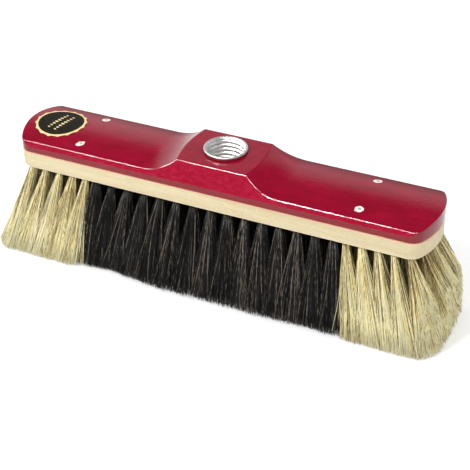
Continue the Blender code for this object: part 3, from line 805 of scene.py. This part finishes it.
def tuftHairs(rng, x, y, pale, count, tipHalf, astray, aim, flared):
    # centre lines of one tuft's hairs: each small lock keeps its own place in the hole and fans out towards the
    # floor in proportion; the side that faces outwards is drawn in to the trimmed outline
    kind = hair["pale" if pale else "dark"]
    clumps = kind["clumps"]
    k = np.arange(clumps)
    away = kind["root"] * np.sqrt((k + 0.5) / clumps)
    turn = k * hair["clumpTurn"] + rng.uniform(0, hair["anyTurn"])
    clumpRoot = np.stack([away * np.cos(turn), away * np.sin(turn)], 1)
    clumpDrift = rng.normal(0, hair["clumpWander"], (clumps, 2))
    clumpTone = rng.normal(0.5, hair["lockTone"], clumps)
    clumpLift = rng.uniform(0, 1, clumps)
    own = rng.integers(0, clumps, count)
    r = hair["clumpSize"] * kind["root"] / math.sqrt(clumps) * np.sqrt(rng.uniform(0, 1, count))
    a = rng.uniform(0, 2 * np.pi, count)
    local = np.stack([r * np.cos(a), r * np.sin(a)], 1)
    spread = np.array(tipHalf) / kind["root"]
    opening = 1.0 + kind["loose"] * (spread - 1) + hair["clumpOpening"] * spread
    offset = clumpRoot[own] * spread + local * opening + clumpDrift[own]
    offset += rng.normal(0, kind["wander"], (count, 2))
    stray = rng.uniform(0, 1, count) < kind["stray"]
    offset += stray[:, None] * rng.uniform(-1, 1, (count, 2)) * hair["strayReach"]
    centre, narrow = aim
    side = np.sign(centre)
    offset *= np.where(offset * side > 0, narrow, 1)
    (endClump, tipClump), (endOwn, tipOwn), (endPower, tipPower) = (hair[key] for key in
                                                                    ("clumpShare", "ownShare", "ownPower"))
    ragged = endClump * rng.uniform(0, 1, (clumps, 2))[own] + endOwn * rng.uniform(0, 1, (count, 2)) ** endPower
    ragged *= kind["ragged"]
    most = sideTrim(centre[0] + offset[:, 0], y, pale) - np.abs(centre[1]) - ragged[:, 1]
    offset[:, 1] = side[1] * np.minimum(side[1] * offset[:, 1], most)
    end = endTrim(centre[1] + offset[:, 1], x) - ragged[:, 0]
    cut = np.ones(count)
    if flared:
        offset[:, 0] = np.minimum(offset[:, 0], hair["flareReach"] * rng.uniform(hair["flareFrom"], 1, count))
        reach = np.maximum(np.abs(centre[0] + offset[:, 0]) - abs(x), 1e-6)
        cut = np.clip((end - abs(x)) / reach, hair["leastCut"], 1)
    elif pale:
        offset[:, 0] = side[0] * np.minimum(side[0] * offset[:, 0], end - abs(centre[0]))
    tipZ = kind["tipSpread"] * (tipClump * clumpLift[own] + tipOwn * rng.uniform(0, 1, count) ** tipPower)
    if astray:  # a few loose hairs that lean across the neighbouring tufts
        offset[:astray, 0] = -np.sign(x) * rng.uniform(*hair["astrayReach"], astray)
        tipZ[:astray] = rng.uniform(*hair["astrayRise"], astray)
        stray[:astray] = True
    middle = np.array([x, y])
    rootOffset = clumpRoot[own] * hair["rootFill"] + local
    level = np.linspace(0, 1, kind["segments"] + 1)
    curl = np.sin(np.pi * level)[None, :, None] * rng.normal(0, kind["curl"], (count, 1, 2))
    level = level * cut[:, None]
    lean, fan = level[..., None] ** hair["bend"], level[..., None] ** kind["opening"]
    plan = middle + lean * (centre - middle) + rootOffset[:, None] + fan * (offset - rootOffset)[:, None] + curl
    z = hair["rootZ"] + level * (tipZ - hair["rootZ"])[:, None]
    tone = clumpTone[own] + rng.normal(0, hair["ownTone"], count) + hair["strayTone"] * stray
    return spots(plan[..., 0], plan[..., 1], z), np.clip(tone, 0, 1)


def tubeFaces(starts, rings, sides):
    # quads of many tubes of one make, each numbered from its own start, and how far round and along its tube
    # each quad's corners lie, from 0 to 1
    i, j = np.meshgrid(np.arange(rings - 1), np.arange(sides), indexing="ij")
    after = (j + 1) % sides
    corner = np.stack([i * sides + j, (i + 1) * sides + j, (i + 1) * sides + after, i * sides + after], -1)
    quads = (starts[:, None, None, None] + corner).reshape(-1, 4)
    roundTube, alongTube = (np.stack([j, j, j + 1, j + 1], -1) / sides,
                            np.stack([i, i + 1, i + 1, i], -1) / (rings - 1))
    return quads, roundTube.reshape(-1, 4), alongTube.reshape(-1, 4)


def hairSurface(name, lines, tones, cores, kind, innerShade):
    # three-sided tapering rings along every centre line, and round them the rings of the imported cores, all in
    # one array; each hair has its own patch of map, and the cores have a strip of it
    count, rings = lines.shape[:2]
    level = np.linspace(0, 1, rings)
    radius = kind["radius"] + (kind["tip"] - kind["radius"]) * level ** hair["taper"]
    turn = np.random.default_rng(len(lines)).uniform(0, hair["anyTurn"], (count, 1))
    ring = around(1, np.arange(3) * 2 * np.pi / 3 + turn, 0)
    points = lines[:, :, None, :] + radius[None, :, None, None] * ring[:, None]
    start = np.arange(count) * rings * 3
    quads, u, v = tubeFaces(start, rings, 3)
    last = (rings - 1) * 3
    triangles = (start[:, None, None] + np.array([[0, 1, 2], [last + 2, last + 1, last]])).reshape(-1, 3)
    cells = math.ceil(math.sqrt(count))
    cell = np.stack([np.arange(count) % cells, np.arange(count) // cells], 1)[:, None]
    patch = (hairMap["margin"] + hairMap["filled"] * np.stack([u, v], -1)).reshape(-1, 2)
    quadMap, endMap = (((cell + corners) / cells).reshape(-1, 2) for corners in (patch, hairMap["ends"]))

    coreRings, ribs = cores[0][0].shape[:2]
    corePoints = np.stack([core for core, _, _ in cores])
    middle = corePoints[:, [0, -1]].mean(2)  # a point closes each end
    corePoints = np.concatenate([corePoints.reshape(len(cores), -1, 3), middle], 1)
    coreTones = np.stack([np.append(np.tile(tone, coreRings), [hair["coreTone"]] * 2) for _, tone, _ in cores])
    coreLevel = np.repeat(np.linspace(0, hair["coreLevel"], coreRings), ribs)
    coreLevels = np.tile(np.append(coreLevel, (0, hair["coreLevel"])), len(cores))
    each, foot = coreRings * ribs + 2, (coreRings - 1) * ribs
    coreStart = points.shape[0] * rings * 3 + np.arange(len(cores)) * each
    coreQuads, u, v = tubeFaces(coreStart, coreRings, ribs)
    k = np.arange(ribs)
    after = (k + 1) % ribs
    caps = np.concatenate([spots(each - 2, k, after), spots(each - 1, foot + after, foot + k)])
    coreCaps = (coreStart[:, None, None] + caps).reshape(-1, 3)

    def strip(u, v):  # one tile of the strip for each core
        (left, width), tile = hairMap["strip"], np.arange(len(cores))[:, None, None]
        return np.stack(np.broadcast_arrays(left + width * u, (tile + v) / len(cores)), -1).reshape(-1, 2)

    low, span = hairMap["coreSpan"]
    coreMap = strip(u, low + span * v)
    capMap = strip(np.tile(np.stack([k + 0.5, k, k + 1], 1) / ribs, (2, 1)),
                   np.repeat(hairMap["caps"], ribs, axis=0))

    allPoints = np.concatenate([points.reshape(-1, 3), corePoints.reshape(-1, 3)])
    data = surface(name, allPoints, np.concatenate([quads, coreQuads]), np.concatenate([triangles, coreCaps]))
    values = {
        "hairTone": np.concatenate([np.repeat(tones, rings * 3), coreTones.ravel()]),
        "hairLevel": np.concatenate([np.tile(np.repeat(level, 3), count), coreLevels]),
        "hairInner": np.concatenate([np.repeat(innerShade, rings * 3), np.repeat([one for _, _, one in cores], each)]),
    }
    for key, value in values.items():
        data.attributes.new(key, "FLOAT", "POINT").data.foreach_set("value", value.astype(np.float32))
    narrowed = (hairMap["hairs"], 1.0)
    layout = np.concatenate([quadMap * narrowed, coreMap, endMap * narrowed, capMap])
    data.uv_layers.new(name="OFBake", do_init=False).uv.foreach_set("vector", layout.astype(np.float32).ravel())
    return data


def backing(x0, x1, y):
    # the folded hair in the board's channel: a bar closed at its ends, whose rings are boxy ovals with their
    # points at (|cos angle|^power, |sin angle|^power) in each quarter
    angle = fullTurn(tufts["sliceSteps"]) + np.pi / tufts["sliceSteps"]
    oval = np.array([np.cos(angle), np.sin(angle)])
    py, pz = np.sign(oval) * np.abs(oval) ** tufts["slicePower"]
    py, pz = tufts["sliceWidth"] / 2 * py, tufts["sliceThickness"] / 2 * pz
    middle, ease = tufts["sliceTop"] - tufts["sliceThickness"] / 2, tufts["sliceEase"]
    rows = [(x0, 0.0), (x0, 0.9), (x0 + ease, 1.0), (x1 - ease, 1.0), (x1, 0.9), (x1, 0.0)]
    return [spots(px, y + py * size, middle + pz * size) for px, size in rows]


def joinBacking(data, x0, x1, y, places):
    # adds the bar and a short plug of hair in each hole, and gives them a plain middle tone
    work = opened(data)
    tone, level = (work.verts.layers.float[key] for key in ("hairTone", "hairLevel"))
    layer = work.loops.layers.uv["OFBake"]
    corner, swing, rate = hairMap["plug"]
    low, high = hair["rootZ"] - hair["plugDown"], tufts["sliceTop"] - tufts["sliceThickness"] / 2
    for rows in [backing(x0, x1, y)] + [cylinder(hair["plug"], low, high, hair["plugSteps"], (x, y))
                                        for x in places]:
        solid = shell("part", rows)
        own = opened(solid)
        matching = {v.index: work.verts.new(v.co) for v in own.verts}
        for vert in matching.values():
            vert[tone], vert[level] = hair["plugTone"], 0.0
        for face in own.faces:
            for loop in work.faces.new([matching[v.index] for v in face.verts]).loops:
                spot = loop.vert.co
                loop[layer].uv = (corner + swing * math.sin(spot.x * rate),
                                  corner + swing * math.cos(spot.z * rate))
        own.free()
        bpy.data.meshes.remove(solid)
    return closed(work, data)


def hairFinish(name, tints, sheen, rootShade, tipLight):
    # each hair takes its tint from its own tone, drifting along it, with painted shade at the root and painted
    # light towards the tip; the inner rows get painted shade near the board
    finish, tree, shader = newFinish(name, Roughness=0.45, Specular_IOR_Level=sheen)
    tone, level, inner = (node(tree, "Attribute", attribute_name=key).outputs["Fac"]
                          for key in ("hairTone", "hairLevel", "hairInner"))
    flow = noise(tree, (1100, 1100, 200), 2.0, 0.5)
    mixed = plus(tree, tone, remap(tree, flow, 0.3, 0.7, -0.18, 0.18))
    # painted shade at the root and painted light towards the tip
    mixed = plus(tree, mixed, remap(tree, level, 0.3, 1.0, rootShade, tipLight))
    # painted shade on the inner rows near the board
    rowShade = times(tree, inner, remap(tree, level, 0.12, 0.6, 1.0, 0.0))
    feed(tree, shader, Base_Color=mixColour(tree, rowShade, stops(tree, mixed, tints),
                                            (0.10, 0.075, 0.04, 1.0), "MULTIPLY"))
    return finish


looks = {
    "dark": hairFinish("darkHorsehair", [
        (0.0, colour(5, 4, 4)), (0.42, colour(13, 12, 11)), (0.62, colour(24, 22, 21)),
        (0.82, colour(54, 49, 45)), (1.0, colour(165, 152, 136))], 0.25, 0.0, 0.0),
    "pale": hairFinish("paleHorsehair", [
        (0.0, colour(70, 52, 24)), (0.22, colour(150, 125, 74)), (0.46, colour(236, 218, 156)),
        (0.66, colour(254, 245, 188)), (1.0, colour(255, 252, 220))], 0.3, -0.12, 0.24),
}


def growRow(row, part, places):
    # every tuft of one group in one piece, standing for that group's node
    pale = part != "dark"
    look = "pale" if pale else "dark"
    nodeName = f"pale_tufts_{part}_row_{row + 1}" if pale else f"dark_tufts_row_{row + 1}"
    kind, y, last = hair[look], rowY(row), np.abs(places).max()
    pitchX = abs(floorX(places[1], pale) - floorX(places[0], pale))
    pitchY = floorY(rowY(1)) - floorY(rowY(0))
    tipHalf = (hair["tipFill"] * pitchX / 2, hair["tipFill"] * pitchY / 2)
    rng = np.random.default_rng(hair["seed"] + 10 * row + ["left", "dark", "right"].index(part))
    outer = row in (0, tufts["rows"] - 1)
    lines, tones, innerShades, cores = [], [], [], []
    for x in places:
        endmost = pale and abs(x) == last
        count = kind["outer"] if outer or endmost else kind["inner"]
        astray = hair["astray"] if pale and row == 0 and abs(x) == tufts["paleEdge"] else 0
        flared = endmost and part == "right"
        aim = tuftAim(rng, x, y, pale, tipHalf, flared)
        one, tone = tuftHairs(rng, x, y, pale, count, tipHalf, astray, aim, flared)
        hidden = 0.0 if outer else 1.0
        if pale and not outer:  # the tufts at the head's ends are in plain sight
            hidden = float(np.clip((last - abs(x)) / hair["shownOver"] - hair["shownFrom"], 0, 1))
        cores.append((*tuftCore(rng, x, y, pale, aim, tipHalf, endmost, flared), hidden))
        lines.append(one)
        tones.append(tone)
        innerShades.append(np.full(count, hidden))
    data = hairSurface(nodeName, np.concatenate(lines), np.concatenate(tones), cores, kind, np.concatenate(innerShades))
    data = joinBacking(data, places.min() - tufts["sliceEnd"], places.max() + tufts["sliceEnd"], y, places)
    addPiece(f"hair.{part}.{row + 1}", data, looks[look], [nodeName], 180.0)


for row in range(tufts["rows"]):
    growRow(row, "left", -paleX(row)[::-1])
    growRow(row, "dark", darkX())
    growRow(row, "right", paleX(row))
    print("hair row", row + 1, "grown")


wireLook = steelFinish("wireSteel")
for row in range(tufts["rows"]):
    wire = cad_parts[f"drawing_wire_row_{row + 1}"]
    wire.data.materials.clear()
    wire.data.materials.append(wireLook)
print("wires finished")


studio = {
    "floorColour": 0.90, "floorMirror": 0.08, "floorSeen": 0.72, "floorGlow": 0.34,
    "floorHalf": 3.0, "floorZ": -0.0002,
    "fillBehind": 0.84, "fillFront": 0.88, "fillRight": 0.34,
    "behind": 0.60, "left": 0.55, "front": 0.20, "above": 0.10, "aimZ": 0.08,
    "lamps": {  # direction, distance, width, height, radiance, seen in reflections only
        "keyBox": ((-0.28, -0.66, 0.69), 1.30, 0.26, 0.26, 42.0, False),
        "edgeStrip": ((-0.36, -0.56, 0.75), 1.30, 0.80, 0.20, 36.0, True),
        "rightStrip": ((0.18, -0.52, 0.835), 1.30, 0.34, 0.24, 42.0, True),
        "leftStrip": ((-0.797, -0.253, 0.543), 1.30, 0.30, 0.30, 42.0, True),
    },
}


def lightPath(tree):
    # whether a ray comes from the camera, and whether it is mirrored or passes through
    path = node(tree, "LightPath").outputs
    return path["Is Camera Ray"], maths(tree, "MAXIMUM", path["Is Glossy Ray"], path["Is Transmission Ray"])


def buildFloor():
    corners = np.array([[-1, -1], [1, -1], [1, 1], [-1, 1]]) * studio["floorHalf"]
    data = surface("studioFloor", spots(*corners.T, studio["floorZ"]), [[0, 1, 2, 3]])
    finish = bpy.data.materials.new("studioFloor")
    finish.use_nodes = True
    tree = finish.node_tree
    tree.nodes.clear()
    seen, mirrored = lightPath(tree)
    tone = mixNumber(tree, seen, studio["floorColour"], studio["floorSeen"])
    tone = node(tree, "CombineXYZ", {0: tone, 1: tone, 2: tone}).outputs[0]
    glowing = plus(tree, times(tree, seen, studio["floorGlow"]), times(tree, mirrored, studio["floorMirror"]))
    matte = node(tree, "BsdfDiffuse", {"Color": tone}).outputs[0]
    glow = node(tree, "Emission", {"Color": (1, 1, 1, 1), "Strength": glowing}).outputs[0]
    both = node(tree, "AddShader", {0: matte, 1: glow}).outputs[0]
    node(tree, "OutputMaterial", {"Surface": both})
    data.materials.append(finish)
    floor = linked("studioFloor", data)


def buildWorld():
    # white for what the camera sees; as light, a soft fill, a little stronger from behind; in reflections, a
    # pale backdrop behind and to the left, and a darker room in front and overhead
    world = bpy.data.worlds.new("studio")
    bpy.context.scene.world = world
    world.use_nodes = True
    tree = world.node_tree
    tree.nodes.clear()
    way = node(tree, "SeparateXYZ", {0: node(tree, "TexCoord").outputs["Generated"]}).outputs
    beside = times(tree, remap(tree, way["X"], -0.25, -0.85, 0.0, studio["left"]),
                   remap(tree, way["Z"], 0.05, 0.80, 1.0, 0.0))
    rising = remap(tree, way["Z"], 0.45, 0.60, 1.0, studio["above"])
    facing = remap(tree, way["Y"], -0.30, 0.15, studio["front"] / studio["behind"], 1.0)
    level = times(tree, times(tree, studio["behind"], rising), facing)
    level = plus(tree, level, times(tree, beside, facing))
    fill = remap(tree, way["Y"], -0.4, 0.4, studio["fillFront"], studio["fillBehind"])
    fill = plus(tree, fill, remap(tree, way["X"], 0.2, 0.7, 0.0, studio["fillRight"]))
    seen, mirrored = lightPath(tree)
    strength = mixNumber(tree, seen, mixNumber(tree, mirrored, fill, level), 1.0)
    light = node(tree, "Background", {"Color": (1, 1, 1, 1), "Strength": strength}).outputs[0]
    node(tree, "OutputWorld", {"Surface": light})


def buildLamps():
    # one soft box in front as the key, and strips that only put a line of light on rounded edges
    for name, (way, far, width, height, radiance, mirrorOnly) in studio["lamps"].items():
        way = Vector(way).normalized()
        lamp = bpy.data.lights.new(name, "AREA")
        lamp.shape, lamp.size, lamp.size_y = "RECTANGLE", width, height
        lamp.energy = radiance * math.pi * width * height
        box = linked(name, lamp)
        box.location = Vector((0, 0, studio["aimZ"])) + way * far
        box.rotation_euler = way.to_track_quat("Z", "Y").to_euler()
        box.visible_diffuse = not mirrorOnly


view = {
    "azimuth": 24.6941, "elevation": 34.5172, "roll": -0.4699, "distance": 0.76627,
    "sensor": 36.0, "clip": (0.05, 20.0),
    "target": (0.0, 0.0, 0.0761345), "targetPixel": (225.4314, 174.1157), "focalPixels": 1223.606, "frame": 470,
}


def buildCamera():
    az, el, roll = (math.radians(view[key]) for key in ("azimuth", "elevation", "roll"))
    back = Vector((math.sin(az) * math.cos(el), -math.cos(az) * math.cos(el), math.sin(el)))
    level = Vector((0, 0, 1)).cross(back).normalized()
    upright = back.cross(level)
    right = math.cos(roll) * level + math.sin(roll) * upright
    up = -math.sin(roll) * level + math.cos(roll) * upright
    offX, offY = ((pixel - view["frame"] / 2) / view["focalPixels"] for pixel in view["targetPixel"])
    sight = (right * offX - up * offY - back).normalized()
    lens = bpy.data.cameras.new("camera")
    lens.sensor_width = view["sensor"]
    lens.lens = view["focalPixels"] * view["sensor"] / view["frame"]
    lens.clip_start, lens.clip_end = view["clip"]
    camera = linked("camera", lens)
    place = Matrix((right, up, back)).transposed().to_4x4()
    place.translation = Vector(view["target"]) - sight * view["distance"]
    camera.matrix_world = place
    bpy.context.scene.camera = camera


buildFloor()
buildWorld()
buildLamps()
buildCamera()
bpy.context.scene.view_settings.view_transform = "Standard"
print("studio set")
